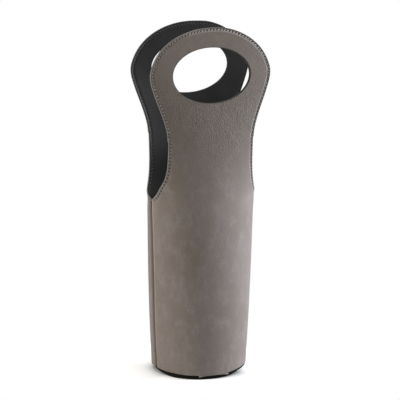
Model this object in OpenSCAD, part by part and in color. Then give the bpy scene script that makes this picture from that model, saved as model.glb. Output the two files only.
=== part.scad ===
// A tall carrier made of two stiff sandwich panels, a front one and a back one.
// Below, the panels are sewn together along both sides into a pocket on a round foot.
// Above the side seams each panel runs on by itself as a neck and a ring with a grip hole.
// Each panel is an outer skin, a stiffening board and a lining, cut flush and topstitched.
// Sizes are in millimetres. The origin is in the middle of the foot's underside,
// +X is to the right, +Y to the back and +Z up.

/* [Foot] */
// Outer radius of the pocket where it meets the foot
foot_radius = 54; // [48:0.5:60]
// Height of the outer skin's hem above the ground
hem_height = 4.8; // [4:0.1:6]
// Thickness of the cover under the foot
foot_cover_thickness = 1.2; // [0.8:0.1:1.4]
// Thickness of the stiff board in the foot
foot_board_thickness = 2.2; // [1.6:0.1:2.6]
// Thickness of the lining on the pocket's floor
foot_lining_thickness = 0.9; // [0.6:0.1:1.4]
// How far the foot's cover stays back from the outer skin's face
foot_setback = 0.4; // [0.2:0.1:1]

/* [Pocket] */
// Height at which the side seams end
seam_top = 204; // [180:1:230]
// Half width of the pocket at the top of the side seams
mouth_half_width = 62.5; // [58:0.5:68]
// Half depth of the pocket at the top of the side seams
mouth_half_depth = 41; // [36:0.5:46]
// How far the walls bulge out at half the height of the pocket
pocket_bulge = 1.2; // [0:0.1:1.8]
// How far the side seams lie in front of the middle, at the foot
seam_lead_foot = 7.5; // [1:0.5:10]
// How far the side seams lie in front of the middle, at their top
seam_lead_mouth = 6; // [2:0.5:11]

/* [Neck and ring] */
// Rise from the top of the side seams to the narrowest place of the neck
armhole_rise = 67; // [50:1:80]
// Half width of the neck at its narrowest place
waist_half_width = 50.5; // [44:0.5:54]
// How sharply the armhole's edge turns away from the side seam, where 1 is a round corner
armhole_sharpness = 2.2; // [1:0.1:2.6]
// How late the armhole's edge levels out above the side seam, where 1 is a round corner
armhole_lateness = 0.58; // [0.5:0.02:1]
// Rise from the narrowest place to the line where the handle flexes
flex_rise = 8; // [5:0.5:14]
// Rise from the narrowest place to the widest place of the ring
neck_rise = 72; // [64:1:84]
// Half width of the ring at its widest place
ring_half_width = 71; // [64:0.5:76]
// Rise from the ring's widest place to its top
crown_rise = 52; // [44:1:58]
// Half the distance between the two rings at their top, from skin to skin
top_half_depth = 30; // [22:0.5:36]
// Half width of the ellipse that the ring's flat section is cut from
top_section_half_width = 240; // [150:5:300]

/* [Grip hole] */
// Half width of the grip hole
grip_half_width = 46.5; // [40:0.5:50]
// Half height of the grip hole
grip_half_height = 31; // [26:0.5:33]
// How far the hole's middle lies under the ring's widest place
grip_drop = 1; // [0:0.5:3]

/* [Sandwich] */
// Thickness of the outer skin
skin_thickness = 1.2; // [0.9:0.1:1.5]
// Thickness of the stiffening board
board_thickness = 0.8; // [0.5:0.1:1]
// Thickness of the lining
lining_thickness = 0.8; // [0.5:0.1:1.2]

/* [Sewing] */
// Radius of the topstitching thread
thread_radius = 0.3; // [0.2:0.05:0.4]
// Distance of the topstitching from the edge
stitch_inset = 2.8; // [2:0.1:4]
// Width of the groove between the two panels at the side seams
seam_groove = 0.8; // [0.7:0.1:1.2]
// Radius of the thread that holds the side seams and the foot
seam_thread_radius = 0.25; // [0.15:0.05:0.3]

/* [Hidden] */

// Clear distance between two layers that lie on each other
layer_gap = 0.05;
// Clear distance between the topstitching and the curved face that it lies on
thread_clearance = 0.2;
// Clear distance, on the axis of the bend, between a panel's pocket part and handle part
bend_clearance = 0.3;
// How fast that distance grows away from the axis, as a share: a little over half the
// tangent of the handle's widest swing, so that the two parts never meet
bend_slack_share = 0.24;
// Clear distance between the panels' hem and the welt that carries them
hem_clearance = 0.3;
// Clear distance between the floor's lining and the wall
floor_clearance = 0.7;
// Step over which the slope of the skin is measured
slope_step = 0.02;

// How soon the back panel's edge leaves the side seam for the middle, as a power
wrap_sharpness = 7;

// How much of the flattening comes before it evens out, as a share
flatten_lead_share = 0.33;
// How much of the inward lean comes late, towards the top, as a share
late_lean_share = 0.5;

// Cells of the sheets: around the pocket, up the pocket, up the armhole
around_count = 20;
pocket_count = 6;
armhole_count = 9;
// How closely the armhole's rows crowd towards its lower corner, where 1 is evenly spread
row_crowding = 1.5;
// Cells of the handles: over the crown, along one side of the neck, along the bend
crown_count = 20;
neck_count = 7;
bend_count = 20;
// Cells from the outline to the grip hole
band_count = 2;
// Sides of the threads
thread_sides = 6;
$fn = 96;

FRONT = -1;
BACK = 1;

waist_height = seam_top + armhole_rise;
flex_height = waist_height + flex_rise;
ring_height = waist_height + neck_rise;
top_height = ring_height + crown_rise;
grip_height = ring_height - grip_drop;

// Depths of the layers under the face of the outer skin
board_depth = skin_thickness + layer_gap;
lining_depth = board_depth + board_thickness + layer_gap;
panel_thickness = lining_depth + lining_thickness;
thread_lift = thread_clearance + thread_radius;

skin_color = [0.47, 0.43, 0.41];
board_color = [0.62, 0.55, 0.44];
lining_color = [0.16, 0.15, 0.15];
thread_color = [0.36, 0.33, 0.32];
foot_color = [0.1, 0.1, 0.1];

function mix(from, to, share) = from + (to - from) * share;
function unit(v) = v / norm(v);

// The pocket goes from a circle at the foot to an ellipse at the mouth. Above that
// each panel is cut from a wider and wider ellipse, so that it ends nearly flat.
function rise_share(z) = (z - seam_top) / (top_height - seam_top);
function flatness_share(share) = (1 - share) * (1 - flatten_lead_share * share);
function pocket_half(low, high, share) = mix(low, high, share) + pocket_bulge * sin(180 * share);
function half_width_at(z) =
    z <= seam_top
    ? pocket_half(foot_radius, mouth_half_width, z / seam_top)
    : 1 / mix(1 / top_section_half_width, 1 / mouth_half_width, flatness_share(rise_share(z)));
function lean_share(share) = share * share * mix(1, share, late_lean_share);
function half_depth_at(z) =
    z <= seam_top
    ? pocket_half(foot_radius, mouth_half_depth, z / seam_top)
    : mix(mouth_half_depth, top_half_depth, lean_share(rise_share(z)));

// A point of a panel, at an angle from the panel's middle line and a depth under its face
function face_point(z, angle, side) =
    [half_width_at(z) * sin(angle), side * half_depth_at(z) * cos(angle), z];
function face_slope(z, angle, side) =
    face_point(z + slope_step, angle, side) - face_point(z - slope_step, angle, side);
function face_run(z, angle, side) =
    [half_width_at(z) * cos(angle), -side * half_depth_at(z) * sin(angle), 0];
function face_normal(z, angle, side) =
    side * unit(cross(face_slope(z, angle, side), face_run(z, angle, side)));
function panel_point(z, angle, side, depth) =
    face_point(z, angle, side) - depth * face_normal(z, angle, side);

// The same by the distance from the middle plane
function angle_at(x, z) = asin(x / half_width_at(z));

// Side seams: they run up a little in front of the middle
function seam_lead(z) = mix(seam_lead_foot, seam_lead_mouth, z / seam_top);
function seam_turn(z) = asin(seam_lead(z) / half_depth_at(z));
function groove_turn(z) = seam_groove / 2 / half_depth_at(z) * 180 / PI;
mouth_turn = seam_turn(seam_top);
mouth_edge = mouth_half_width * cos(mouth_turn);

// Outline of a panel above the seams: the armhole, the neck and the crown
function armhole_height(turn) = seam_top + armhole_rise * pow(1 - cos(turn), armhole_lateness);
function armhole_half_width(turn) =
    mix(waist_half_width, mouth_edge, pow(1 - sin(turn), armhole_sharpness));
function neck_height(share) = mix(waist_height, ring_height, share);
function neck_half_width(share) =
    mix(waist_half_width, ring_half_width, (1 - cos(180 * share)) / 2);
function crown_point(turn) =
    [ring_half_width * cos(turn), ring_height + crown_rise * sin(turn)];

// Rows of the pocket part, each a height and the angle of the panel's edge there.
// The back panel starts further round, because the seams lie in front of the middle.
function wrap_share(turn) = pow(1 - sin(turn), wrap_sharpness);
function pocket_row(z, side) = [z, 90 + side * seam_turn(z) - groove_turn(z)];
function armhole_row(turn, side) =
    let (z = armhole_height(turn), wrap = (1 + side) * mouth_turn * wrap_share(turn))
    [z, angle_at(armhole_half_width(turn), z) + wrap - groove_turn(z)];
function armhole_rows(side) =
    [for (i = [1:armhole_count]) armhole_row(90 * pow(i / armhole_count, row_crowding), side)];
function body_rows(side) = concat(
    [for (i = [0:pocket_count]) pocket_row(mix(hem_height, seam_top, i / pocket_count), side)],
    armhole_rows(side)
);

// The bend: a line across the neck where the sheet gives when the handle is swung. The
// panel is curved there, so the cut between its two parts is narrow on the axis of the
// bend, which runs half way into the curve, and wider away from it.
bend_half_width = neck_half_width(flex_rise / neck_rise);
bend_edge_turn = angle_at(bend_half_width, flex_height);
function bend_depth(turn, depth) = panel_point(flex_height, turn, BACK, depth)[1];
bend_axis_depth = mix(
    bend_depth(0, panel_thickness / 2), bend_depth(bend_edge_turn, panel_thickness / 2), 1 / 2
);
function bend_gap(turn, depth) =
    bend_clearance / 2 + bend_slack_share * abs(bend_depth(turn, depth) - bend_axis_depth);

function body_grid(side, depth) = concat(
    [
        for (row = body_rows(side))
            for (i = [0:around_count])
                panel_point(row[0], row[1] * (2 * i / around_count - 1), side, depth)
    ],
    [
        for (i = [0:around_count])
            let (turn = bend_edge_turn * (2 * i / around_count - 1))
            panel_point(flex_height - bend_gap(turn, depth), turn, side, depth)
    ]
);

// Outline of the handle part, anticlockwise from its right shoulder, and the matching
// points of the grip hole
function reversed(list) = [for (i = [len(list) - 1:-1:0]) list[i]];
function neck_side(way, depth) =
    let (end_share = (flex_rise + bend_gap(bend_edge_turn, depth)) / neck_rise)
    [
        for (i = [1:neck_count])
            let (share = mix(1, end_share, i / neck_count))
            [way * neck_half_width(share), neck_height(share)]
    ];
function bend_side(depth) = [
    for (i = [1:bend_count - 1])
        let (x = bend_half_width * (2 * i / bend_count - 1))
        [x, flex_height + bend_gap(angle_at(x, flex_height), depth)]
];
crown = [for (i = [0:crown_count]) crown_point(180 * i / crown_count)];
function handle_outline(depth) =
    concat(crown, neck_side(-1, depth), bend_side(depth), reversed(neck_side(1, depth)));
outline_count = len(handle_outline(0));
function grip_turn(i) =
    i <= crown_count
    ? 180 * i / crown_count
    : 180 + 180 * (i - crown_count) / (outline_count - crown_count);
grip_outline = [
    for (i = [0:outline_count - 1])
        [grip_half_width * cos(grip_turn(i)), grip_height + grip_half_height * sin(grip_turn(i))]
];
function handle_grid(side, depth) =
    let (outline = handle_outline(depth))
    [
        for (j = [0:band_count])
            for (i = [0:outline_count - 1])
                let (p = mix(outline[i], grip_outline[i], j / band_count))
                panel_point(p[1], angle_at(p[0], p[1]), side, depth)
    ];

// Faces of a sheet between two equal grids. The second grid's points follow the first's.
function cell(a, b, c, d) = [[a, b, c], [a, c, d]];
function turned(faces) = [for (face = faces) reversed(face)];
function grid_cells(rows, columns, looped, start) = [
    for (j = [0:rows - 2])
        for (i = [0:columns - (looped ? 1 : 2)])
            let (k = (i + 1) % columns, low = start + j * columns, high = low + columns)
            each cell(low + i, low + k, high + k, high + i)
];
function rim_cells(loop, step) = [
    for (i = [0:len(loop) - 1])
        let (p = loop[i], q = loop[(i + 1) % len(loop)])
        each cell(q, p, p + step, q + step)
];
function open_rim(rows, columns) = concat(
    [for (i = [0:columns - 2]) i],
    [for (j = [0:rows - 2]) j * columns + columns - 1],
    [for (i = [columns - 1:-1:1]) (rows - 1) * columns + i],
    [for (j = [rows - 1:-1:1]) j * columns]
);
function looped_rim(row, columns) = [for (i = [0:columns - 1]) row * columns + i];

module sheet(face_grid, back_grid, rims, columns, looped, side) {
    size = len(face_grid);
    rows = size / columns;
    faces = concat(
        grid_cells(rows, columns, looped, 0),
        turned(grid_cells(rows, columns, looped, size)),
        [for (rim = rims) each rim_cells(rim, size)]
    );
    polyhedron(points = concat(face_grid, back_grid), faces = side == BACK ? faces : turned(faces));
}

// One layer of a panel's pocket part and of its handle part
module body_layer(side, depth, thickness) {
    columns = around_count + 1;
    face_grid = body_grid(side, depth);
    rims = [open_rim(len(face_grid) / columns, columns)];
    sheet(face_grid, body_grid(side, depth + thickness), rims, columns, false, side);
}
module handle_layer(side, depth, thickness) {
    rims = [looped_rim(0, outline_count), reversed(looped_rim(band_count, outline_count))];
    sheet(
        handle_grid(side, depth), handle_grid(side, depth + thickness),
        rims, outline_count, true, side
    );
}

// A thread on the face of a panel, beside an edge that is given as heights and angles.
// inward is 1 along an edge on the right that runs up, and -1 along its mirror image.
// Each point of it lies on the curved face itself, the inset away from the edge.
function edge_point(edge, i, side) = face_point(edge[i][0], edge[i][1], side);
function edge_way(edge, i, side) =
    unit(edge_point(edge, min(i + 1, len(edge) - 1), side) - edge_point(edge, max(i - 1, 0), side));
function edge_inset(edge, i, side, inward) =
    let (
        z = edge[i][0],
        run = face_run(z, edge[i][1], side),
        across = inward * side * unit(cross(edge_way(edge, i, side), face_normal(z, edge[i][1], side)))
    )
    [z + stitch_inset * across[2], edge[i][1] + stitch_inset * (across * run) / (run * run) * 180 / PI];
function thread_ring(edge, i, side, inward) =
    let (
        spot = edge_inset(edge, i, side, inward),
        normal = face_normal(spot[0], spot[1], side),
        across = inward * side * unit(cross(edge_way(edge, i, side), normal)),
        middle = face_point(spot[0], spot[1], side) + thread_lift * normal
    )
    [
        for (k = [0:thread_sides - 1])
            let (turn = 360 * k / thread_sides)
            middle + thread_radius * (cos(turn) * normal + sin(turn) * across)
    ];
function end_fan(start) = [for (k = [1:thread_sides - 2]) [start, start + k, start + k + 1]];
function thread_cells(rings) = concat(
    grid_cells(rings, thread_sides, true, 0),
    turned(end_fan(0)),
    end_fan((rings - 1) * thread_sides)
);
module thread(edge, side, inward) {
    rings = len(edge);
    points = [for (i = [0:rings - 1]) each thread_ring(edge, i, side, inward)];
    faces = thread_cells(rings);
    polyhedron(points = points, faces = inward == side ? turned(faces) : faces);
}
function mirrored_edge(edge) = [for (p = edge) [p[0], -p[1]]];
stitch_turn = angle_at(bend_half_width - stitch_inset, flex_height);
module body_stitches(side) {
    rows = armhole_rows(side);
    last_row = [flex_height - bend_gap(stitch_turn, -thread_lift), bend_edge_turn];
    edge = concat([for (i = [2:armhole_count - 1]) rows[i]], [last_row]);
    thread(edge, side, 1);
    thread(mirrored_edge(edge), side, -1);
}
module handle_stitches(side) {
    outline = concat(reversed(neck_side(1, -thread_lift)), crown, neck_side(-1, -thread_lift));
    thread([for (p = outline) [p[1], angle_at(p[0], p[1])]], side, 1);
}

// The thread that closes a side seam, in the groove between the two panels
module seam_thread(way) {
    low = hem_height + panel_thickness;
    high = seam_top - panel_thickness;
    points = [
        for (i = [0:pocket_count])
            let (z = mix(low, high, i / pocket_count))
            let (middle = panel_point(z, way * (90 - seam_turn(z)), FRONT, panel_thickness / 2))
            for (k = [0:thread_sides - 1])
                let (turn = 360 * k / thread_sides)
                middle + seam_thread_radius * [cos(turn), sin(turn), 0]
    ];
    color(thread_color)
        polyhedron(points = points, faces = turned(thread_cells(pocket_count + 1)));
}

// The foot: a cover on the ground, a welt that stands on it and carries the panels,
// a stiff board inside the welt and the lining on the pocket's floor
foot_cover_radius = foot_radius - foot_setback;
welt_bottom = foot_cover_thickness + layer_gap;
welt_top = hem_height - hem_clearance;
wall_inner_radius = foot_radius - panel_thickness;
foot_board_radius = wall_inner_radius - floor_clearance;
notch_size = 2 * (seam_thread_radius + layer_gap);
module foot_cover() {
    color(foot_color) cylinder(h = foot_cover_thickness, r = foot_cover_radius);
}
module foot_welt() {
    color(foot_color) rotate_extrude() polygon([
        [wall_inner_radius, welt_bottom],
        [foot_cover_radius, welt_bottom],
        [foot_cover_radius, welt_top],
        [wall_inner_radius + notch_size, welt_top],
        [wall_inner_radius + notch_size, welt_top - notch_size],
        [wall_inner_radius, welt_top - notch_size]
    ]);
}
module foot_board() {
    color(board_color) translate([0, 0, welt_bottom])
        cylinder(h = foot_board_thickness, r = foot_board_radius);
}
module foot_lining() {
    color(lining_color) translate([0, 0, welt_bottom + foot_board_thickness + layer_gap])
        cylinder(h = foot_lining_thickness, r = foot_board_radius);
}
module foot_seam_thread() {
    color(thread_color) translate([0, 0, welt_top - notch_size / 2])
        rotate_extrude() translate([wall_inner_radius + notch_size / 2, 0])
            circle(r = seam_thread_radius);
}

module outer_body(side) {
    color(skin_color) body_layer(side, 0, skin_thickness);
}
module board_body(side) {
    color(board_color) body_layer(side, board_depth, board_thickness);
}
module lining_body(side) {
    color(lining_color) body_layer(side, lining_depth, lining_thickness);
}
module outer_handle(side) {
    color(skin_color) handle_layer(side, 0, skin_thickness);
}
module board_handle(side) {
    color(board_color) handle_layer(side, board_depth, board_thickness);
}
module lining_handle(side) {
    color(lining_color) handle_layer(side, lining_depth, lining_thickness);
}

outer_body(FRONT);  // front_outer_body
board_body(FRONT);  // front_board_body
lining_body(FRONT);  // front_lining_body
color(thread_color) body_stitches(FRONT);  // front_body_stitches
outer_handle(FRONT);  // front_outer_handle
board_handle(FRONT);  // front_board_handle
lining_handle(FRONT);  // front_lining_handle
color(thread_color) handle_stitches(FRONT);  // front_handle_stitches
outer_body(BACK);  // back_outer_body
board_body(BACK);  // back_board_body
lining_body(BACK);  // back_lining_body
color(thread_color) body_stitches(BACK);  // back_body_stitches
outer_handle(BACK);  // back_outer_handle
board_handle(BACK);  // back_board_handle
lining_handle(BACK);  // back_lining_handle
color(thread_color) handle_stitches(BACK);  // back_handle_stitches
seam_thread(-1);  // left_seam_thread
seam_thread(1);  // right_seam_thread
foot_cover();
foot_welt();
foot_board();
foot_lining();
foot_seam_thread();
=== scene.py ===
import math

import bmesh
import bpy
from mathutils import Matrix, Vector, kdtree, noise


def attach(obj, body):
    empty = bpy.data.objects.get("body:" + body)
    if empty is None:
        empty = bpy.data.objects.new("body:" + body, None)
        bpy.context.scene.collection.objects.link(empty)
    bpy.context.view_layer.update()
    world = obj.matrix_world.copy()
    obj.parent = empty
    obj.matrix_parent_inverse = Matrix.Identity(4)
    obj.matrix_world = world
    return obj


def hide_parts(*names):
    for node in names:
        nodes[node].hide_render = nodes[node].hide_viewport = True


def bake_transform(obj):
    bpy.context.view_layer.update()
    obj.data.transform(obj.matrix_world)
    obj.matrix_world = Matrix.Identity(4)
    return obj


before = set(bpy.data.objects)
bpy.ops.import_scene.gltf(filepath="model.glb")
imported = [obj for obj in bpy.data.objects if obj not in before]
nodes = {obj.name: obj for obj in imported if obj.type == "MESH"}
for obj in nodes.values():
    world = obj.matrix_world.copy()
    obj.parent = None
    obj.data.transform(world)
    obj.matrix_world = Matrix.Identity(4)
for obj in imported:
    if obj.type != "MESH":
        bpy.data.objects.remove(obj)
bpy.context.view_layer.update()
millimetre = 0.001
tiny = 1e-6
quarterTurn = math.pi / 2
sides = ("front", "back")

# The camera stands a little to the left of the front and looks slightly down
camera = {
    "place": (-0.73716, -1.90506, 0.65072),
    "target": (0, 0, 0.19518),
    "lens": 166.5,
    "sensor": 36,
    "shift": 0.00236,
}
cameraData = bpy.data.cameras.new("camera")
cameraData.lens = camera["lens"]
cameraData.sensor_width = camera["sensor"]
cameraData.shift_x = camera["shift"]
cameraObject = bpy.data.objects.new("camera", cameraData)
bpy.context.collection.objects.link(cameraObject)
aim = (Vector(camera["target"]) - Vector(camera["place"])).to_track_quat("-Z", "Y").to_matrix()
cameraObject.matrix_world = Matrix.Translation(camera["place"]) @ aim.to_4x4()
bpy.context.scene.camera = cameraObject
print("camera placed")

# Both panels are cut from these sizes, the same as in the part's source
panel = {
    "hem": 0.0048,
    "footRadius": 0.054,
    "seamTop": 0.204,
    "mouthWidth": 0.0624,
    "mouthDepth": 0.0405,
    "widthSwell": 0.0013,
    "depthSwell": 0.0011,
    "seamLeads": ((0, 0.0073), (0.05, 0.0067), (0.1, 0.0083), (0.15, 0.0078), (0.204, 0.0058)),
    "groove": 0.0008,
    "waist": 0.2713,
    "waistWidth": 0.0511,
    "armholeSharpness": 2.05,
    "armholeLateness": 0.587,
    "wrapSharpness": 8,
    "neckSwell": (0.292, 0.014, 0.0005),
    "ring": 0.3432,
    "ringWidth": 0.0695,
    "ringSwell": (0.343, 0.013, 0.0015),
    "ringBow": (0.335, 0.035, 0.0015),
    "top": 0.3954,
    "topDepth": 0.0303,
    "topSectionWidth": 0.244,
    "flattenLead": 0.33,
    "lateLean": 0.5,
    "armholeEase": (0.2165, 0.0095, 1),
    "mouthBlend": 0.014,
    "thickness": 0.0029,
}
gripHole = {"width": 0.0461, "height": 0.03086, "middle": {"front": 0.3425, "back": 0.3436}}
# How far the front panel's board and lining stand out into its grip hole, across and in height
holeLip = {"across": 0.0010, "up": 0.0004}
# How far the part leans to its right at some heights
lean = (
    (0, -0.0006), (0.1, 0.0005), (0.204, 0.0018), (0.27, 0.0017), (0.33, 0.0014), (0.395, 0.0013),
)
# The topstitching and the pinch of the leather along it; pinchEnds counts stitches from a row's end
sewing = {
    "inset": 0.0026,
    "pitch": 0.0039,
    "length": 0.0030,
    "radius": 0.00048,
    "slant": 28,
    "start": 0.0042,
    "pinch": 0.00055,
    "pinchWidth": 0.0010,
    "pinchEnds": (-1.5, 0.5),
    "pitLength": 0.0021,
    "pitWidth": 0.0019,
}


def mix(a, b, share):
    return a + (b - a) * share


def smoothStep(low, high, x):
    t = min(max((x - low) / (high - low), 0), 1)
    return t * t * (3 - 2 * t)


# A smooth way through a few knots of place and value
def through(knots, x):
    places = [place for place, value in knots]
    values = [value for place, value in knots]
    last = len(knots) - 1
    i = max(k for k in range(last) if k == 0 or x >= places[k])
    slopes = []
    for k in (i, i + 1):
        low, high = max(k - 1, 0), min(k + 1, last)
        slopes.append((values[high] - values[low]) / (places[high] - places[low]))
    gap = places[i + 1] - places[i]
    t = min(max((x - places[i]) / gap, 0), 1)
    bulges = (slopes[0] * gap * t * (1 - t) ** 2, slopes[1] * gap * t * t * (t - 1))
    return mix(values[i], values[i + 1], t * t * (3 - 2 * t)) + bulges[0] + bulges[1]


def hill(place, z):
    middle, width, height = panel[place]
    return height * math.exp(-(((z - middle) / width) ** 2))


def mouthShare(z):
    blend = panel["mouthBlend"]
    return smoothStep(panel["seamTop"] - blend, panel["seamTop"] + blend, z)


def belly(share):
    return math.sin(math.pi * min(max(share, 0), 1))


def riseShare(z):
    return (z - panel["seamTop"]) / (panel["top"] - panel["seamTop"])


# Half the pocket's width or depth below the mouth
def pocketHalf(z, mouth, swell):
    share = z / panel["seamTop"]
    return mix(panel["footRadius"], panel[mouth], share) + panel[swell] * belly(share)


def halfWidth(z):
    rise = riseShare(z)
    roundness = (1 - rise) * (1 - panel["flattenLead"] * rise)
    high = 1 / mix(1 / panel["topSectionWidth"], 1 / panel["mouthWidth"], roundness)
    return mix(pocketHalf(z, "mouthWidth", "widthSwell"), high, mouthShare(z))


def halfDepth(z):
    rise = riseShare(z)
    inwards = rise * rise * mix(1, rise, panel["lateLean"])
    high = mix(panel["mouthDepth"], panel["topDepth"], inwards) + hill("ringBow", z)
    return mix(pocketHalf(z, "mouthDepth", "depthSwell"), high, mouthShare(z))


# Way along the level section of a panel, from its middle line to an angle, and back
def arcLength(angle, a, b):
    step = angle / 8
    total = 0
    for i, weight in enumerate((1, 4, 2, 4, 2, 4, 2, 4, 1)):
        total += weight * math.hypot(a * math.cos(i * step), b * math.sin(i * step))
    return total * step / 3


def angleFor(s, a, b):
    angle = s / a
    for _ in range(4):
        speed = math.hypot(a * math.cos(angle), b * math.sin(angle))
        angle -= (arcLength(angle, a, b) - s) / speed
    return angle


# At the top of the side seams the left corner has settled, and the right one stands out. The front
# armhole's bottom edge is eased outwards at the left, between these places across and up
corners = {
    "left": {"drop": 0.0030, "dropReach": 0.0045, "flare": 0.0, "flareReach": 0.015, "ease": 0.0022},
    "right": {"drop": -0.0004, "dropReach": 0.007, "flare": 0.0012, "flareReach": 0.016, "ease": 0.0},
}
easeLimits = {"across": (0.02, 0.05), "up": (0.2045, 0.2095)}
# The front ring's crown has settled on its left half, and the back one stands up on its right half
crownSettle = {
    "front": {"drop": 0.0010, "across": (0.018, -0.004), "up": (0.368, 0.393)},
    "back": {"drop": -0.0011, "across": (-0.004, -0.026), "up": (0.372, 0.386)},
}


# A point of the flat leather, s across and z up, laid on the curved face of a panel
def facePoint(side, s, z):
    corner = corners["left" if (s < 0) == (side == "front") else "right"]
    settle = crownSettle[side]
    if side == "front":
        ease = corner["ease"] * hill("armholeEase", z) * smoothStep(*easeLimits["across"], abs(s))
        s += math.copysign(ease * smoothStep(*easeLimits["up"], z), s)
    z -= settle["drop"] * smoothStep(*settle["across"], s) * smoothStep(*settle["up"], z)
    away = math.hypot(abs(s) - cornerAcross[side], z - panel["seamTop"])
    z -= corner["drop"] * math.exp(-away / corner["dropReach"])
    flare = corner["flare"] * math.exp(-((away / corner["flareReach"]) ** 2))
    a, b = halfWidth(z), halfDepth(z)
    angle = angleFor(s, a, b)
    step = 0.0002
    wider = (halfWidth(z + step) - halfWidth(z - step)) / (2 * step)
    deeper = (halfDepth(z + step) - halfDepth(z - step)) / (2 * step)
    point = Vector((a * math.sin(angle), -b * math.cos(angle), z))
    run = Vector((a * math.cos(angle), b * math.sin(angle), 0))
    slope = Vector((wider * math.sin(angle), -deeper * math.cos(angle), 1))
    normal = run.cross(slope).normalized()
    turn = 1 if side == "front" else -1
    normal = Vector((turn * normal.x, turn * normal.y, normal.z))
    point = Vector((turn * point.x + through(lean, z), turn * point.y, z))
    return point + flare * normal, normal


# The outline of a panel's right half, flat
def seamEdge(side, z):
    a, b = halfWidth(z), halfDepth(z)
    turn = math.asin(through(panel["seamLeads"], z) / b) * (1 if side == "back" else -1)
    return arcLength(quarterTurn + turn - panel["groove"] / 2 / b, a, b)


cornerAcross = {side: seamEdge(side, panel["seamTop"]) for side in sides}


def flatAcross(x, z):
    a, b = halfWidth(z), halfDepth(z)
    return arcLength(math.asin(min(x / a, 1)), a, b)


def armholePoint(side, turn):
    z = mix(panel["seamTop"], panel["waist"], (1 - math.cos(turn)) ** panel["armholeLateness"])
    a, b = halfWidth(z), halfDepth(z)
    mouthTurn = math.asin(panel["seamLeads"][-1][1] / panel["mouthDepth"])
    corner = panel["mouthWidth"] * math.cos(mouthTurn)
    x = mix(panel["waistWidth"], corner, (1 - math.sin(turn)) ** panel["armholeSharpness"])
    x += hill("neckSwell", z)
    wrap = 2 * mouthTurn * (1 - math.sin(turn)) ** panel["wrapSharpness"] if side == "back" else 0
    return arcLength(math.asin(min(x / a, 1)) + wrap - panel["groove"] / 2 / b, a, b), z


def neckPoint(share):
    z = mix(panel["waist"], panel["ring"], share)
    x = mix(panel["waistWidth"], panel["ringWidth"], (1 - math.cos(math.pi * share)) / 2)
    return flatAcross(x + hill("ringSwell", z) + hill("neckSwell", z), z), z


def crownPoint(turn):
    z = mix(panel["ring"], panel["top"], math.sin(turn))
    return flatAcross(panel["ringWidth"] * math.cos(turn) + hill("ringSwell", z), z), z


def holePoint(side, turn, lip):
    z = gripHole["middle"][side] + (gripHole["height"] - lip * holeLip["up"]) * math.sin(turn)
    return flatAcross((gripHole["width"] - lip * holeLip["across"]) * math.cos(turn), z), z


# Steps of the outline and of finer points along it, and how the rows and spokes of the mesh run: the
# insets of the outer rows in millimetres, the height on the middle line where the spoke from the
# seam's top ends, and the height from which on the spokes end on the grip hole
cutting = {
    "seamSteps": 52,
    "armholeSteps": 34,
    "neckSteps": 30,
    "crownSteps": 42,
    "split": 0.297,
    "mouthSpoke": 0.196,
    "insets": (0, 0.4, 0.9, 1.4, 1.9, 2.4, 2.9, 3.4, 4.0, 4.8, 6.2, 8.5),
    "innerRows": 22,
    "spokeSmoothing": 40,
    "seamCutFade": (0.001, 0.006),
    "fineSteps": {"armhole": 500, "neck": 450, "crown": 600, "seam": 600},
    "seamPointsEnd": 0.0015,
}


# The outline from the hem up to the top, and for each point where its spoke of the mesh ends:
# on the middle line below the grip hole, or on the hole's edge
def outlineSpokes(side, lip):
    seamSteps, armholeSteps = cutting["seamSteps"], cutting["armholeSteps"]
    neckSteps, crownSteps = cutting["neckSteps"], cutting["crownSteps"]
    outline = []
    for i in range(seamSteps):
        z = mix(panel["hem"], panel["seamTop"], i / seamSteps)
        outline.append((seamEdge(side, z), z))
    outline += [armholePoint(side, quarterTurn * i / armholeSteps) for i in range(armholeSteps)]
    outline += [neckPoint(i / neckSteps) for i in range(neckSteps)]
    outline += [crownPoint(quarterTurn * i / crownSteps) for i in range(crownSteps + 1)]
    outline = [Vector(p) for p in outline]
    split = next(i for i, p in enumerate(outline) if p.y > cutting["split"])
    ways = [0]
    for before, after in zip(outline, outline[1:split + 1]):
        ways.append(ways[-1] + (after - before).length)
    bottomOfHole = holePoint(side, -quarterTurn, lip)[1]
    ends = []
    for i, p in enumerate(outline):
        if i < seamSteps:
            share = (p.y - panel["hem"]) / (panel["seamTop"] - panel["hem"])
            ends.append((0, mix(panel["hem"], cutting["mouthSpoke"], share)))
        elif i <= split:
            share = (ways[i] - ways[seamSteps]) / (ways[split] - ways[seamSteps])
            ends.append((0, mix(cutting["mouthSpoke"], bottomOfHole, share)))
        elif p.y < panel["ring"]:
            share = (p.y - outline[split].y) / (panel["ring"] - outline[split].y)
            ends.append(holePoint(side, mix(-quarterTurn, 0, share), lip))
        else:
            crownStep = i - (len(outline) - 1 - crownSteps)
            ends.append(holePoint(side, quarterTurn * crownStep / crownSteps, lip))
    return outline, [Vector(p) for p in ends]


def inwardNormals(points):
    normals = []
    for i in range(len(points)):
        way = points[min(i + 1, len(points) - 1)] - points[max(i - 1, 0)]
        normals.append(Vector((-way.y, way.x)).normalized())
    return normals


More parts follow.
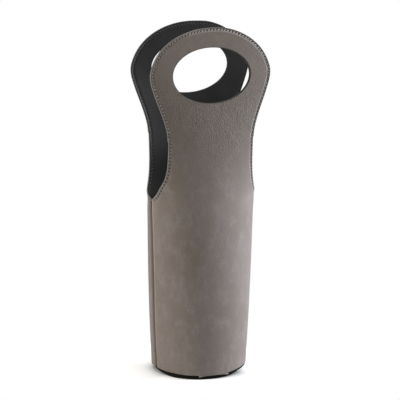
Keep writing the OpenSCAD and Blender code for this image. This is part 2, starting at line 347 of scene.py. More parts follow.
# The leather is cut flat: rows that follow the outline, spokes that run inwards
def cutFlat(side, seamCut, lip):
    outline, ends = outlineSpokes(side, lip)
    ways = inwardNormals(outline)
    for _ in range(cutting["spokeSmoothing"]):
        before, after = [ways[0]] + ways[:-1], ways[1:] + [Vector((-ways[-2].x, ways[-2].y))]
        ways = [(p + 2 * q + r).normalized() for p, q, r in zip(before, ways, after)]
    ways[-1] = Vector((0, -1))
    insets = [inset * millimetre for inset in cutting["insets"]]
    cutStart, cutEnd = (panel["seamTop"] - below for below in cutting["seamCutFade"])
    spokes, rows = len(outline) - 1, len(insets) - 1 + cutting["innerRows"]
    flat = bmesh.new()
    bmesh.ops.create_grid(flat, x_segments=rows, y_segments=spokes, size=1)
    for vert in flat.verts:
        row, spoke = round((vert.co.x + 1) / 2 * rows), round((vert.co.y + 1) / 2 * spokes)
        fixed = min(row, len(insets) - 1)
        p = outline[spoke] + insets[fixed] * ways[spoke]
        if row > fixed:
            p = mix(p, ends[spoke], (row - fixed) / cutting["innerRows"])
        if outline[spoke].y < panel["seamTop"]:
            p.x -= seamCut * smoothStep(cutStart, cutEnd, outline[spoke].y) * (1 - row / rows)
        vert.co = (p.x, 0, p.y)
    bmesh.ops.mirror(
        flat, geom=flat.verts[:] + flat.edges[:] + flat.faces[:],
        matrix=Matrix.Identity(4), merge_dist=tiny, axis="X",
    )
    bmesh.ops.recalc_face_normals(flat, faces=flat.faces[:])
    flat.normal_update()
    if flat.faces[0].normal.y > 0:
        bmesh.ops.reverse_faces(flat, faces=flat.faces[:])
    return flat


# Fine points along the free edge, from the top of the right side seam over the crown to the
# left one, with the way covered at each: [(point, inward normal, way)]
def freeEdge(side):
    armholeSteps, neckSteps, crownSteps = (
        cutting["fineSteps"][name] for name in ("armhole", "neck", "crown")
    )
    right = [armholePoint(side, quarterTurn * i / armholeSteps) for i in range(armholeSteps)]
    right += [neckPoint(i / neckSteps) for i in range(neckSteps)]
    right += [crownPoint(quarterTurn * i / crownSteps) for i in range(crownSteps + 1)]
    points = [Vector(p) for p in right]
    points += [Vector((-p.x, p.y)) for p in reversed(points[:-1])]
    normals = inwardNormals(points)
    way, edge = 0, []
    for i, point in enumerate(points):
        way += (point - points[i - 1]).length if i else 0
        edge.append((point, normals[i], way))
    return edge


def stitchCount(edge):
    return round((edge[-1][2] - 2 * sewing["start"]) / sewing["pitch"])


def stitchPitch(edge):
    return (edge[-1][2] - 2 * sewing["start"]) / stitchCount(edge)


def seamPoints(side):
    points, steps = [], cutting["fineSteps"]["seam"]
    for i in range(steps):
        z = mix(0, panel["seamTop"] - cutting["seamPointsEnd"], i / (steps - 1))
        points += [(way * seamEdge(side, z), z) for way in (-1, 1)]
    return points


# Finds the nearest of many flat points
def searchTree(points):
    tree = kdtree.KDTree(len(points))
    for i, (across, up) in enumerate(points):
        tree.insert((across, up, 0), i)
    tree.balance()
    return tree


freeEdges = {side: freeEdge(side) for side in sides}
edgeTrees = {side: searchTree([point for point, normal, way in freeEdges[side]]) for side in sides}
seamTrees = {side: searchTree(seamPoints(side)) for side in sides}

# How the leather gives: two sizes of bulges that fade towards the seams, the hem and the ring, a
# round edge, and edges rolled into the side seams, wider on the back panel than on the front one
give = {
    "bulges": [
        {"height": 0.00045, "across": 17, "up": 9, "start": {"front": 3.7, "back": 11.3}},
        {"height": 0.00016, "across": 42, "up": 16, "start": {"front": 8.7, "back": 16.3}},
    ],
    "seamFade": (0.002, 0.02),
    "hemFade": (0.004, 0.03),
    "ringFade": (0.27, 0.33),
    "ringShare": 0.5,
    "edgeRound": 0.00012,
    "edgeReach": 0.0014,
    "roll": {"front": 0.0008, "back": 0.0017},
    "rollWidth": {"front": 0.0016, "back": 0.0048},
    "rollFade": (0.002, 0.03),
}


def bulge(side, s, z, seamGap):
    total = 0
    for wave in give["bulges"]:
        spot = Vector((s * wave["across"], z * wave["up"], wave["start"][side]))
        total += wave["height"] * noise.noise(spot)
    fade = smoothStep(*give["seamFade"], seamGap) * smoothStep(*give["hemFade"], z)
    return fade * mix(1, give["ringShare"], smoothStep(*give["ringFade"], z)) * total


# The front hem hangs lower between two places, most at both of them, and spreads out there
hemFlap = {
    "start": -0.0193,
    "end": 0.0161,
    "step": 0.0004,
    "middle": 0.0006,
    "tip": 0.0020,
    "tipReach": 0.0045,
    "corner": 0.0016,
    "cornerReach": 0.006,
    "height": 0.010,
    "spread": 0.3,
    "cutBelow": 0.02,
}
# How much the hem is drawn up at places across each panel
hemRise = {
    "front": (
        (-0.08, 0.0013), (-0.07, 0.0006), (-0.057, 0.0003), (-0.046, 0.0001), (-0.029, -0.0005),
        (0.012, -0.0002), (0.020, 0.0002), (0.028, 0.0008), (0.040, 0.0011), (0.060, 0.0011),
        (0.08, 0.0008),
    ),
    "back": (
        (-0.09, 0.0010), (-0.075, 0.0004), (0, 0), (0.062, -0.0004), (0.072, -0.0003), (0.086, 0.0012),
    ),
}


def hemDrop(side, s):
    rise = through(hemRise[side], s)
    if side == "back" or not hemFlap["start"] <= s <= hemFlap["end"]:
        return -rise
    tip = hemFlap["tip"] * math.exp((hemFlap["start"] - s) / hemFlap["tipReach"])
    corner = hemFlap["corner"] * math.exp((s - hemFlap["end"]) / hemFlap["cornerReach"])
    return hemFlap["middle"] + tip + corner


# Lays a flat sheet with its thickness on the panel's curved face, and marks on each vertex what the
# finishes need: its ways from the free edge, the side seam and the grip hole, and how deep it lies
def wrapSheet(sheet, side, layer):
    names = ("inset", "stitchRun", "depthShare", "seamAway", "holeAway")
    marks = {name: sheet.verts.layers.float.new(name) for name in names}
    edge, pitch = freeEdges[side], stitchPitch(freeEdges[side])
    half = panel["thickness"] / 2
    rollStart, rollEnd = (panel["seamTop"] - below for below in give["rollFade"])
    for vert in sheet.verts:
        s, within, z = vert.co
        spot = Vector((s, z, 0))
        index, distance = edgeTrees[side].find(spot)[1:]
        seamGap = seamTrees[side].find(spot)[2]
        run = (edge[index][2] - sewing["start"]) / pitch
        up = (z - gripHole["middle"][side]) / gripHole["height"]
        vert[marks["inset"]] = distance
        vert[marks["stitchRun"]] = run
        vert[marks["depthShare"]] = within / layer["thickness"]
        vert[marks["seamAway"]] = seamGap if side == "back" else -seamGap
        vert[marks["holeAway"]] = (math.hypot(s / gripHole["width"], up) - 1) * gripHole["height"]
        depth = layer["depth"] + within
        outwards = 1 - depth / half
        fromRow = (distance - sewing["inset"]) / sewing["pinchWidth"]
        pinch = sewing["pinch"] * math.exp(-(fromRow ** 2))
        pinch *= smoothStep(*sewing["pinchEnds"], min(run, stitchCount(edge) - run))
        edgeRound = give["edgeRound"] * smoothStep(give["edgeReach"], 0, distance)
        depth += outwards ** 3 * (pinch + edgeRound)
        if outwards > 0:
            closing = give["roll"][side] * smoothStep(rollStart, rollEnd, z)
            depth += closing * max(1 - seamGap / give["rollWidth"][side], 0) ** 2
        point, normal = facePoint(side, s, z)
        point += normal * (bulge(side, s, z, seamGap) - depth)
        if layer["name"] == "skin":
            low = smoothStep(panel["hem"] + hemFlap["height"], panel["hem"], z)
            drop = hemDrop(side, s) * low
            point += Vector((0, 0, -drop)) + hemFlap["spread"] * max(drop, 0) * normal
        vert.co = point


# Close cuts across the hem on both sides of each step, so that the steps come out sharp
def cutHemSteps(sheet):
    for place in (hemFlap["start"], hemFlap["end"]):
        for way in (-1, 1):
            low = [f for f in sheet.faces if f.calc_center_median().z < hemFlap["cutBelow"]]
            parts = {part for f in low for part in (f, *f.edges, *f.verts)}
            bmesh.ops.bisect_plane(
                sheet, geom=list(parts), dist=tiny, plane_no=(1, 0, 0),
                plane_co=(place + way * hemFlap["step"] / 2, 0, 0),
            )


def makeObject(name, mesh, materials):
    for face in mesh.faces:
        face.smooth = True
    data = bpy.data.meshes.new(name)
    mesh.to_mesh(data)
    mesh.free()
    for material in materials:
        data.materials.append(material)
    piece = bpy.data.objects.new(name, data)
    bpy.context.collection.objects.link(piece)
    return piece


def sharpEdges(mesh, angle=60):
    mesh.normal_update()
    return [e for e in mesh.edges if e.is_manifold and e.calc_face_angle() > math.radians(angle)]


# A value on its way through a material's nodes, so that shader maths reads as maths
class Signal:
    def __init__(self, finish, socket):
        self.finish, self.socket = finish, socket

    def maths(self, operation, first, second=0.0):
        return self.finish.node("Math", {"operation": operation}, {0: first, 1: second})

    def __add__(self, other):
        return self.maths("ADD", self, other)

    def __radd__(self, other):
        return self.maths("ADD", other, self)

    def __sub__(self, other):
        return self.maths("SUBTRACT", self, other)

    def __rsub__(self, other):
        return self.maths("SUBTRACT", other, self)

    def __mul__(self, other):
        return self.maths("MULTIPLY", self, other)

    def __rmul__(self, other):
        return self.maths("MULTIPLY", other, self)

    def __truediv__(self, other):
        return self.maths("DIVIDE", self, other)

    def __pow__(self, other):
        return self.maths("POWER", self, other)

    def fraction(self):
        return self.maths("FRACT", self)

    def larger(self, other):
        return self.maths("MAXIMUM", self, other)

    def root(self):
        return self.maths("SQRT", self)

    # 0 below low and 1 above high, smooth between, or the other way round
    def between(self, low, high):
        values = {"Value": self, "From Min": min(low, high), "From Max": max(low, high)}
        values.update({"To Min": 0.0 if low < high else 1.0, "To Max": 1.0 if low < high else 0.0})
        return self.finish.node("MapRange", {"interpolation_type": "SMOOTHSTEP"}, values)


class Finish:
    def __init__(self, name, tree=None, output="ShaderNodeOutputMaterial"):
        if tree is None:
            self.material = bpy.data.materials.new(name)
            self.material.use_nodes = True
            tree = self.material.node_tree
        self.tree = tree
        self.tree.nodes.clear()
        self.output = self.tree.nodes.new(output)

    # Makes a node: settings first, then its sockets' values or links
    def node(self, kind, settings=None, values=None, output=0):
        made = self.tree.nodes.new("ShaderNode" + kind)
        for key, value in (settings or {}).items():
            setattr(made, key, value)
        for key, value in (values or {}).items():
            if isinstance(value, Signal):
                self.tree.links.new(value.socket, made.inputs[key])
            else:
                made.inputs[key].default_value = value
        return Signal(self, made.outputs[output])

    def coordinates(self, scale=(1, 1, 1), turn=(0, 0, 0)):
        place = self.node("TexCoord", output="Object")
        return self.node("Mapping", values={"Vector": place, "Scale": scale, "Rotation": turn})

    # How far along X, Y or Z a place is
    def axis(self, letter):
        return self.node("SeparateXYZ", values={0: self.coordinates()}, output=letter)

    def noise(self, scale, detail=3, rough=0.5, stretch=(1, 1, 1), turn=(0, 0, 0)):
        values = {"Vector": self.coordinates(stretch, turn), "Scale": scale}
        values.update({"Detail": detail, "Roughness": rough})
        return self.node("TexNoise", values=values)

    def cells(self, scale, stretch=(1, 1, 1), turn=(0, 0, 0)):
        values = {"Vector": self.coordinates(stretch, turn), "Scale": scale}
        return self.node("TexVoronoi", values=values)

    def attribute(self, name):
        return self.node("Attribute", {"attribute_name": name}, output="Fac")

    def blend(self, factor, first, second):
        values = {0: factor}
        for key, colour in ((6, first), (7, second)):
            values[key] = colour if isinstance(colour, Signal) else (*colour, 1)
        return self.node("Mix", {"data_type": "RGBA"}, values, output=2)

    # Coats laid on a colour one after another: [(how much of it shows, its colour)]
    def coats(self, colour, coats):
        for share, paint in coats:
            colour = self.blend(share, colour, paint)
        return colour

    def bump(self, height, depth, strength=1.0):
        return self.node("Bump", values={"Height": height, "Distance": depth, "Strength": strength})

    # The shader on the surface; plain numbers go straight on its sockets
    def surface(self, values):
        shader = self.node("BsdfPrincipled", values=values)
        self.tree.links.new(shader.socket, self.output.inputs["Surface"])
        return self.material


def skinFinish():
    colours = {
        "grey": (0.176, 0.148, 0.139),
        "brown": (0.146, 0.120, 0.100),
        "pale": (0.222, 0.192, 0.186),
        "upper": (0.106, 0.084, 0.062),
        "edge": (0.012, 0.011, 0.010),
        "rim": (0.050, 0.045, 0.041),
        "paleTone": (0.30, 0.275, 0.26),
        "cut": (0.24, 0.22, 0.205),
        "groove": (0.045, 0.036, 0.029),
        "ridgeHighlight": (0.30, 0.275, 0.245),
        "hole": (0.012, 0.011, 0.010),
    }
    skin = Finish("skinLeather")
    clouds = skin.noise(22, 3, 0.55, stretch=(1, 1, 0.6))
    patches = skin.noise(75, 4, 0.62, stretch=(1, 1, 0.7))
    scuffs = skin.noise(190, 4, 0.65, stretch=(1, 1, 0.45), turn=(0, 0.5, 0))
    speckle = skin.noise(430, 3, 0.6)
    pebbles = skin.cells(620, stretch=(1, 1, 0.8), turn=(0, 0.6, 0))
    creases = skin.noise(560, 2, 0.5, stretch=(1.8, 1, 0.4), turn=(0, 0.65, 0))
    place, height = skin.axis("X"), skin.axis("Z")
    inset, within = skin.attribute("inset"), skin.attribute("depthShare")

    # Regions: the outer face and its left and right sides, the neck, the crown, the armhole's bottom
    # and the hanging flap of the hem
    face = within.between(0.35, 0.1)
    left = place.between(0.03, -0.03) * face
    rightFace = place.between(-0.035, 0.04) * face
    neck = height.between(0.235, 0.285) * height.between(0.345, 0.315)
    crown = place.between(-0.042, -0.018) * height.between(0.335, 0.36)
    armhole = height.between(0.275, 0.24) * face
    flap = height.between(0.0044, 0.0036)

    # The leather is cloudy and scuffed, browner upwards, and coarser on the neck; the valleys of its
    # creases and pebbles are painted darker, as shade
    coarse = 0.3 + 0.7 * neck * patches.between(0.3, 0.5)
    colour = skin.coats(colours["grey"], [
        (clouds.between(0.32, 0.68), colours["brown"]),
        (patches.between(0.45, 0.7) * 0.6, colours["pale"]),
        (scuffs.between(0.52, 0.3) * 0.5, colours["brown"]),
        (speckle.between(0.55, 0.35) * 0.5, colours["brown"]),
        (height.between(0.19, 0.32) * 0.56, colours["upper"]),
        (creases.between(0.5, 0.3) * 0.2 * coarse, colours["rim"]),
        (pebbles.between(0.45, 0.8) * 0.27 * coarse, colours["rim"]),
    ])

    # Along the free edge: a painted highlight on the rim at the left; at the right, painted shade on
    # the rim beyond the stitches and a painted highlight on the shoulder inside them, also on the
    # crown; and the dark edge of the grip hole, edge paint with painted shade on its rounded rim
    leftRimHighlight = inset.between(0.0012, 0.0003) * left * (0.35 + 0.5 * patches)
    rim = inset.between(0.0022, 0.0014) * rightFace
    shoulderHighlight = inset.between(0.0032, 0.0038) * inset.between(0.0053, 0.0042) * rightFace.larger(crown)
    holeRim = skin.attribute("holeAway").between(0.0007, 0.0002)

    # At the side seam: painted shade in the groove on both panels, darkening across the back panel's
    # strip towards it, and a painted highlight on the ridge of the front one
    seamAway = skin.attribute("seamAway")
    behind = seamAway.between(0.0056, 0.0008) * seamAway.between(-0.0004, 0.0001)
    before = seamAway.between(-0.0011, -0.0003) * seamAway.between(0.0001, -0.0001)
    ridgeHighlight = seamAway.between(-0.0010, -0.0016) * seamAway.between(-0.0042, -0.0022)

    # The pits of the stitches, from how far along and across its own stitch a place is, are painted
    # with shade, strongest at the right, the armhole's bottom and the crown
    run = skin.attribute("stitchRun")
    along = ((run + 0.5).fraction() - 0.5) * sewing["pitch"] / (sewing["pitLength"] / 2)
    across = (inset - sewing["inset"]) / (sewing["pitWidth"] / 2)
    away = (along ** 2.0 + across ** 2.0).root()
    pits = away.between(1.15, 0.7) * run.between(-0.6, -0.4) * within.between(0.3, 0.1)
    deepShade = rightFace.larger(armhole).larger(crown)

    cut = skin.blend(inset.between(0.004, 0.002), colours["edge"], colours["cut"])
    # The cut walls with their dark edge paint, the painted highlights and shade of the edges, the seam
    # and the stitch pits, and the paler hanging flap go on the colour here
    colour = skin.coats(colour, [
        (leftRimHighlight, colours["paleTone"]),
        (rim * 0.7, colours["rim"]),
        (shoulderHighlight * 0.45, colours["paleTone"]),
        (holeRim * 0.75, colours["rim"]),
        ((behind + before) * 0.82, colours["groove"]),
        (ridgeHighlight * 0.40, colours["ridgeHighlight"]),
        (pits * (0.4 + 0.6 * deepShade), colours["hole"]),
        (within.between(0.24, 0.4), cut),
        (flap * 0.85, colours["paleTone"]),
    ])
    relief = (1.2 * (1 - pebbles) + 0.9 * creases) * coarse + 0.3 * speckle - 1.5 * pits
    return skin.surface({
        "Base Color": colour, "Roughness": 0.6 + 0.12 * speckle,
        "Normal": skin.bump(relief, 0.00025, 0.9),
        "Sheen Weight": 0.12, "Sheen Roughness": 0.5, "Specular IOR Level": 0.4,
    })


def liningFinish():
    colours = {
        "black": (0.013, 0.0125, 0.012),
        "soft": (0.020, 0.0195, 0.019),
        "paleTone": (0.12, 0.118, 0.115),
        "deepShade": (0.004, 0.0038, 0.003),
    }
    lining = Finish("liningLeather")
    clouds = lining.noise(22, 3, 0.55)
    grain = lining.noise(900, 3, 0.6)
    pebbles = lining.cells(1100)
    inset, within = lining.attribute("inset"), lining.attribute("depthShare")
    place, height = lining.axis("X"), lining.axis("Z")

    # A painted highlight along the free edge at the left, less at the crown, and painted shade low in
    # the pocket
    line = inset.between(0.0008, 0.0013) * inset.between(0.0026, 0.0019) * within.between(0.6, 0.9)
    leftRimHighlight = line * place.between(0.045, 0.0) * (1 - 0.8 * height.between(0.360, 0.385))
    inside = height.between(0.285, 0.225)
    colour = lining.coats(colours["black"], [
        (clouds.between(0.35, 0.7), colours["soft"]),
        (leftRimHighlight * (0.3 + 0.4 * clouds), colours["paleTone"]),
        (inside * 0.9, colours["deepShade"]),
    ])
    relief = 0.6 * (1 - pebbles) + 0.4 * grain
    return lining.surface({
        "Base Color": colour, "Roughness": 0.52 + 0.15 * grain + 0.38 * inside,
        "Normal": lining.bump(relief, 0.00012, 0.6), "Specular IOR Level": 0.2,
    })


def boardFinish():
    board = Finish("boardPaint")
    fibres = board.noise(600, 3, 0.6, stretch=(1, 1, 0.3))
    colour = board.blend(fibres, (0.014, 0.013, 0.012), (0.030, 0.028, 0.026))
    return board.surface({
        "Base Color": colour, "Roughness": 0.55 + 0.2 * fibres,
        "Normal": board.bump(fibres, 0.0001, 0.5),
    })


def greyboardFinish():
    board = Finish("greyboard")
    fibres = board.noise(500, 4, 0.65, stretch=(1, 0.3, 1))
    flecks = board.noise(180, 2, 0.5)
    colour = board.blend(fibres, (0.20, 0.17, 0.13), (0.30, 0.26, 0.20))
    colour = board.blend(flecks.between(0.6, 0.8) * 0.4, colour, (0.12, 0.10, 0.08))
    return board.surface({
        "Base Color": colour, "Roughness": 0.85, "Normal": board.bump(fibres, 0.0001, 0.5),
    })


# Twisted thread, paler by so much at the crown's left half
def threadFinish(name, dark, pale, sheen, crownPaling):
    thread = Finish(name)
    twist = thread.noise(2600, 2, 0.5, stretch=(1, 1, 0.5), turn=(0.4, 0.7, 0.2))
    crown = thread.axis("X").between(-0.042, -0.012) * thread.axis("Z").between(0.35, 0.375)
    colour = thread.coats(dark, [
        (twist.between(0.35, 0.65), pale),
        (crown * crownPaling, [1.9 * share for share in pale]),
    ])
    return thread.surface({
        "Base Color": colour, "Roughness": 0.6, "Normal": thread.bump(twist, 0.0001, 0.7),
        "Sheen Weight": sheen,
    })


def footFinish():
    foot = Finish("footCloth")
    wave = {"Vector": foot.coordinates(), "Scale": 260.0, "Distortion": 0.6}
    warp, weft = (foot.node("TexWave", {"bands_direction": axis}, wave) for axis in "XY")
    dust = foot.noise(120, 4, 0.6)
    weave = warp * weft
    colour = foot.coats((0.005, 0.0045, 0.0045), [
        (weave, (0.012, 0.011, 0.010)),
        (dust.between(0.55, 0.8) * 0.2, (0.04, 0.037, 0.034)),
    ])
    return foot.surface({
        "Base Color": colour, "Roughness": 0.75 + 0.15 * dust,
        "Normal": foot.bump(weave, 0.00015, 0.6), "Specular IOR Level": 0.08,
    })


finishes = {
    "skin": skinFinish(),
    "lining": liningFinish(),
    "board": boardFinish(),
    "greyboard": greyboardFinish(),
    "thread": threadFinish(
        "greyThread", (0.15, 0.130, 0.118), (0.27, 0.245, 0.228), sheen=0.3, crownPaling=0.6
    ),
    "innerThread": threadFinish(
        "blackThread", (0.022, 0.0215, 0.021), (0.044, 0.043, 0.041), sheen=0.1, crownPaling=0.0
    ),
    "foot": footFinish(),
}
print("finishes made")

# Skin, stiffening board and lining of each panel, each one sheet from the hem to the crown. A
# positive seamCut takes that much off the sheet at the side seams
layers = [
    {
        "name": "skin", "node": "outer", "depth": 0, "thickness": 0.0012,
        "round": 0.00034, "seamCut": 0.0002,
    },
    {
        "name": "board", "node": "board", "depth": 0.00125, "thickness": 0.0008,
        "round": 0.00012, "seamCut": 0.0045,
    },
    {
        "name": "lining", "node": "lining", "depth": 0.0021, "thickness": 0.0008,
        "round": 0.00024, "seamCut": -0.0004,
    },
]


def bendWithHandle(piece):
    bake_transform(piece)


for side in sides:
    for layer in layers:
        isFront, isSkin = side == "front", layer["name"] == "skin"
        sheet = cutFlat(side, layer["seamCut"], 1 if isFront and not isSkin else 0)
        if isFront and isSkin:
            cutHemSteps(sheet)
        bmesh.ops.solidify(sheet, geom=sheet.faces[:], thickness=layer["thickness"])
        bmesh.ops.bevel(
            sheet, geom=sharpEdges(sheet), offset=layer["round"], segments=3,
            affect="EDGES", profile=0.5, material=-1,
        )
        wrapSheet(sheet, side, layer)
        piece = makeObject(side + "_" + layer["name"], sheet, [finishes[layer["name"]]])
        bendWithHandle(piece)
        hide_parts(f"{side}_{layer['node']}_body", f"{side}_{layer['node']}_handle")
    print(side, "panel cut and wrapped")


# Point and way of the edge at a distance along it
def edgeAt(edge, way):
    low, high = 0, len(edge) - 1
    while high - low > 1:
        middle = (low + high) // 2
        low, high = (middle, high) if edge[middle][2] < way else (low, middle)
    share = (way - edge[low][2]) / (edge[high][2] - edge[low][2])
    return mix(edge[low][0], edge[high][0], share), edge[low][1]


# One stitch: a slim closed loop of thread that dips into the leather at both ends
def addStitch(mesh, middle, along, normal, stitch, slot=0):
    across = normal.cross(along).normalized()
    along = across.cross(normal)
    sizes = (along * stitch["length"] / 2, across * stitch["radius"], normal * stitch["radius"])
    place = Matrix(sizes).transposed().to_4x4()
    place.translation = middle
    lying = Matrix.Rotation(quarterTurn, 4, "Y")
    made = bmesh.ops.create_uvsphere(
        mesh, u_segments=6, v_segments=7, radius=1, matrix=place @ lying
    )
    for face in {face for vert in made["verts"] for face in vert.link_faces}:
        face.material_index = slot


# Inside, the topstitching shows as finer black stitches. Both rows lie in the pinch of the leather.
# The middles of the outer ones stand out of it by one share of the thread's radius, and those of
# both together by the other
innerStitch = {"length": sewing["length"], "radius": sewing["radius"] * 0.8}
standOut = {"outer": 0.8, "both": 1.6}
for side in sides:
    edge = freeEdges[side]
    pitch = stitchPitch(edge)
    threads = bmesh.new()
    for i in range(stitchCount(edge)):
        point, normalIn = edgeAt(edge, sewing["start"] + (i + 0.5) * pitch)
        spot = point + sewing["inset"] * normalIn
        way = Vector((normalIn.y, -normalIn.x))
        way = Matrix.Rotation(math.radians(sewing["slant"]), 2) @ way
        before = facePoint(side, *(spot - way * pitch / 2))[0]
        after = facePoint(side, *(spot + way * pitch / 2))[0]
        here, normal = facePoint(side, *spot)
        seamGap = seamTrees[side].find((spot.x, spot.y, 0))[2]
        lift = standOut["outer"] * sewing["radius"] - sewing["pinch"]
        here += normal * (bulge(side, spot.x, spot.y, seamGap) + lift)
        addStitch(threads, here, after - before, normal, sewing)
        inwards = panel["thickness"] - 2 * sewing["pinch"] + standOut["both"] * sewing["radius"]
        addStitch(threads, here - normal * inwards, after - before, -normal, innerStitch, 1)
    piece = makeObject(side + "_topstitching", threads, [finishes["thread"], finishes["innerThread"]])
    bendWithHandle(piece)
    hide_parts(side + "_body_stitches", side + "_handle_stitches")
print("topstitching sewn")

# The side seams are closed by short hidden stitches across the groove
seamStitch = {
    "pitch": 0.0034, "length": 0.0024, "radius": 0.00024,
    "depth": 0.0013, "margin": 0.007, "rise": 0.35,
}
for name, way in (("left_seam_thread", -1), ("right_seam_thread", 1)):
    threads = bmesh.new()
    low, high = panel["hem"] + seamStitch["margin"], panel["seamTop"] - seamStitch["margin"]
    count = round((high - low) / seamStitch["pitch"])
    for i in range(count + 1):
        z = mix(low, high, i / count)
        across = seamEdge("front", z) + panel["groove"] / 2
        point, normal = facePoint("front", way * across, z)
        along = Vector((-normal.y, normal.x, seamStitch["rise"]))
        addStitch(threads, point - normal * seamStitch["depth"], along, normal, seamStitch)
    piece = makeObject(name + "s", threads, [finishes["innerThread"]])
    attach(piece, "pocket")
    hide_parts(name)
print("side seams sewn")

# The foot: a cover on the ground, a welt on it, a board inside and the lining of the floor. Beyond
# the drawn radii its edge is drawn in, most at the ground
foot = {
    "radius": 0.0532,
    "coverTop": 0.00125,
    "weltInner": 0.0508,
    "weltTop": 0.0045,
    "cardRadius": 0.0500,
    "cardTop": 0.0034,
    "liningRadius": 0.0504,
    "liningBottom": 0.0035,
    "liningTop": 0.0044,
    "liningDip": 0.0002,
    "drawnFrom": 0.045,
    "drawStart": 0.040,
    "drawPower": 1.3,
    "turnSteps": 128,
}
# How far the foot's edge stands on the ground from the middle, by the angle from the front
footEdge = (
    (-180, 0.0534), (-125, 0.0510), (-90, 0.0497), (-73, 0.0508), (-63, 0.0524), (-52, 0.0538),
    (-25, 0.0536), (0, 0.0526), (20, 0.0511), (34, 0.0488), (46, 0.0480), (70, 0.0484),
    (110, 0.0505), (180, 0.0534),
)


def drawIn(mesh):
    for vert in mesh.verts:
        radius = math.hypot(vert.co.x, vert.co.y)
        if radius < foot["drawnFrom"]:
            continue
        angle = math.degrees(math.atan2(vert.co.x, -vert.co.y))
        low = (1 - min(vert.co.z / foot["weltTop"], 1)) ** foot["drawPower"]
        reach = foot["radius"] + (through(footEdge, angle) - foot["radius"]) * low
        share = smoothStep(foot["drawStart"], foot["radius"], radius)
        vert.co.xy *= mix(1, reach / foot["radius"], share)


# A round piece from half its section
def turned(name, profile, roundness, finish):
    mesh = bmesh.new()
    knots = [mesh.verts.new((radius, 0, z)) for radius, z in profile]
    isRing = profile[0][0] > 0
    for a, b in zip(knots, knots[1:] + (knots[:1] if isRing else [])):
        mesh.edges.new((a, b))
    bmesh.ops.spin(
        mesh, geom=mesh.verts[:] + mesh.edges[:], cent=(0, 0, 0), axis=(0, 0, 1),
        angle=2 * math.pi, steps=foot["turnSteps"], use_merge=True,
    )
    bmesh.ops.remove_doubles(mesh, verts=mesh.verts[:], dist=tiny)
    bmesh.ops.recalc_face_normals(mesh, faces=mesh.faces[:])
    bmesh.ops.bevel(
        mesh, geom=sharpEdges(mesh), offset=roundness, segments=4,
        affect="EDGES", profile=0.5, material=-1,
    )
    drawIn(mesh)
    return makeObject(name, mesh, [finish])


# Half a disc's section, with a step on each face from which on the rim is drawn in
def disc(radius, low, high, dip=0.0):
    return [
        (0, low), (radius * 0.85, low), (radius, low),
        (radius, high), (radius * 0.8, high - dip), (0, high - dip),
    ]


def ring(inner, outer, low, high):
    return [(inner, low), (outer, low), (outer, high), (inner, high)]


footLayers = [
    {
        "name": "foot_cover_cloth", "node": "foot_cover", "slot": "foot", "finish": "foot",
        "round": 0.0004, "profile": disc(foot["radius"], 0, foot["coverTop"]),
    },
    {
        "name": "foot_welt_cloth", "node": "foot_welt", "slot": "foot", "finish": "foot",
        "round": 0.0007,
        "profile": ring(foot["weltInner"], foot["radius"], foot["coverTop"], foot["weltTop"]),
    },
    {
        "name": "foot_card", "node": "foot_board", "slot": "board", "finish": "greyboard",
        "round": 0.0003, "profile": disc(foot["cardRadius"], foot["coverTop"], foot["cardTop"]),
    },
    {
        "name": "pocket_floor", "node": "foot_lining", "slot": "lining", "finish": "lining",
        "round": 0.0003,
        "profile": disc(
            foot["liningRadius"], foot["liningBottom"], foot["liningTop"], foot["liningDip"]
        ),
    },
]
for layer in footLayers:
    piece = turned(layer["name"], layer["profile"], layer["round"], finishes[layer["finish"]])
    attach(piece, "pocket")
    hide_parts(layer["node"])
print("foot made")

# The hidden thread keeps its solid and gets a finish of its own
for slot in nodes["foot_seam_thread"].material_slots:
    slot.material = finishes["innerThread"]

# A pale floor that keeps the shadow, white for the camera, and soft lamps round the part
studio = {
    "aim": (0, 0, 0.2),
    "world": 0.072,
    "worldColour": (1, 0.975, 0.90),
    "floorSize": 8,
    "floorHeight": -0.0002,
    "floorColour": 0.8,
    "floorGlow": 0.65,
    "whiteFrom": (0.062, 0.12),
    "lamps": [
        {"place": (1.90, -0.45, 0.8), "size": (0.6, 1.6), "power": 86, "colour": (0.905, 0.935, 1)},
        {"place": (-1.9, -0.05, 0.8), "size": (1.3, 1.6), "power": 40, "colour": (1, 0.945, 0.86)},
        {"place": (0.1, 0.3, 1.9), "size": (1.2, 1.2), "power": 4, "colour": (1, 1, 1)},
    ],
}
# The contact shadow is painted into the floor's colour and glow from how open each place is: close and
# dark in front, softer and longer on both sides, deeper on the right, and it ends behind. The limits in
# behind and sides are cosines of the angle from the front
shadow = {
    "front": (-0.588, -0.809, 0),
    "reach": 0.020,
    "darkest": 0.2,
    "behind": (0.45, 0.0),
    "lighterBehind": 0.6,
    "sides": ((-0.1, 0.35), (0.93, 0.80)),
    "softReach": 0.045,
    "softDepth": 0.35,
    "lampSide": (0, 0.03),
    "lampSideDepth": 0.14,
}


def seenDirectly(finish):
    path = finish.node("LightPath", output="Is Camera Ray")
    for name in ("Is Glossy Ray", "Is Transmission Ray"):
        path = path.larger(finish.node("LightPath", output=name))
    return path


floorMesh = bmesh.new()
floorPlace = Matrix.Translation((0, 0, studio["floorHeight"]))
bmesh.ops.create_grid(
    floorMesh, x_segments=1, y_segments=1, size=studio["floorSize"], matrix=floorPlace
)
floorFinish = Finish("floor")


# How open a place on the floor is to its surroundings within a reach
def openness(reach, low, high):
    values = {"Distance": reach}
    return floorFinish.node("AmbientOcclusion", {"samples": 16}, values, output="AO").between(low, high)


def floorVector(operation, first, second=None, output=0):
    values = {0: first} if second is None else {0: first, 1: second}
    return floorFinish.node("VectorMath", {"operation": operation}, values, output=output)


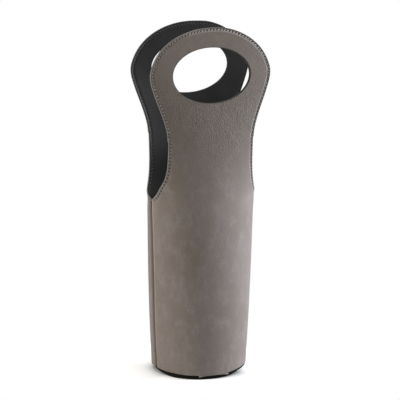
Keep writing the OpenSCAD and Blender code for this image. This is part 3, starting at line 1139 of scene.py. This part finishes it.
ground = floorFinish.coordinates()
facing = floorVector("DOT_PRODUCT", floorVector("NORMALIZE", ground), shadow["front"], "Value")
aside = facing.between(*shadow["sides"][0]) * facing.between(*shadow["sides"][1])
lampSide = floorFinish.axis("X").between(*shadow["lampSide"])
clear = shadow["darkest"] + (1 - shadow["darkest"]) * openness(shadow["reach"], 0.0, 0.9)
clear = clear + (1 - clear) * facing.between(*shadow["behind"]) * shadow["lighterBehind"]
soft = shadow["softDepth"] * (1 - openness(shadow["softReach"], 0.3, 1.0))
clear = clear * (1 - aside * (soft + shadow["lampSideDepth"] * lampSide))
shade = floorFinish.node("CombineColor", values={0: clear, 1: clear, 2: clear})
paint = floorFinish.blend(clear, (0, 0, 0), [studio["floorColour"]] * 3)
lit = floorFinish.node("BsdfDiffuse", values={"Color": paint})
glow = floorFinish.node("Emission", values={"Color": shade, "Strength": studio["floorGlow"]})
bright = floorFinish.node("AddShader", values={0: lit, 1: glow})
white = floorFinish.node("Emission", values={"Color": (1, 1, 1, 1), "Strength": 1.0})
far = floorVector("LENGTH", ground, output="Value").between(*studio["whiteFrom"])
seamless = floorFinish.node("MixShader", values={0: far, 1: bright, 2: white})
both = floorFinish.node("MixShader", values={0: seenDirectly(floorFinish), 1: lit, 2: seamless})
floorFinish.tree.links.new(both.socket, floorFinish.output.inputs["Surface"])
makeObject("floor", floorMesh, [floorFinish.material])

world = bpy.data.worlds.new("studio")
bpy.context.scene.world = world
world.use_nodes = True
worldFinish = Finish("world", world.node_tree, "ShaderNodeOutputWorld")
aroundValues = {"Color": (*studio["worldColour"], 1), "Strength": studio["world"]}
around = worldFinish.node("Background", values=aroundValues)
white = worldFinish.node("Background", values={"Color": (1, 1, 1, 1), "Strength": 1.0})
backdrop = worldFinish.node("MixShader", values={0: seenDirectly(worldFinish), 1: around, 2: white})
worldFinish.tree.links.new(backdrop.socket, worldFinish.output.inputs["Surface"])

for i, lamp in enumerate(studio["lamps"]):
    data = bpy.data.lights.new(f"lamp{i}", "AREA")
    data.shape = "RECTANGLE"
    data.size, data.size_y = lamp["size"]
    data.energy = lamp["power"]
    data.color = lamp["colour"]
    lampObject = bpy.data.objects.new(f"lamp{i}", data)
    bpy.context.collection.objects.link(lampObject)
    way = (Vector(studio["aim"]) - Vector(lamp["place"])).to_track_quat("-Z", "Y")
    lampObject.matrix_world = Matrix.Translation(lamp["place"]) @ way.to_matrix().to_4x4()
bpy.context.scene.view_settings.view_transform = "Standard"
print("studio lit")
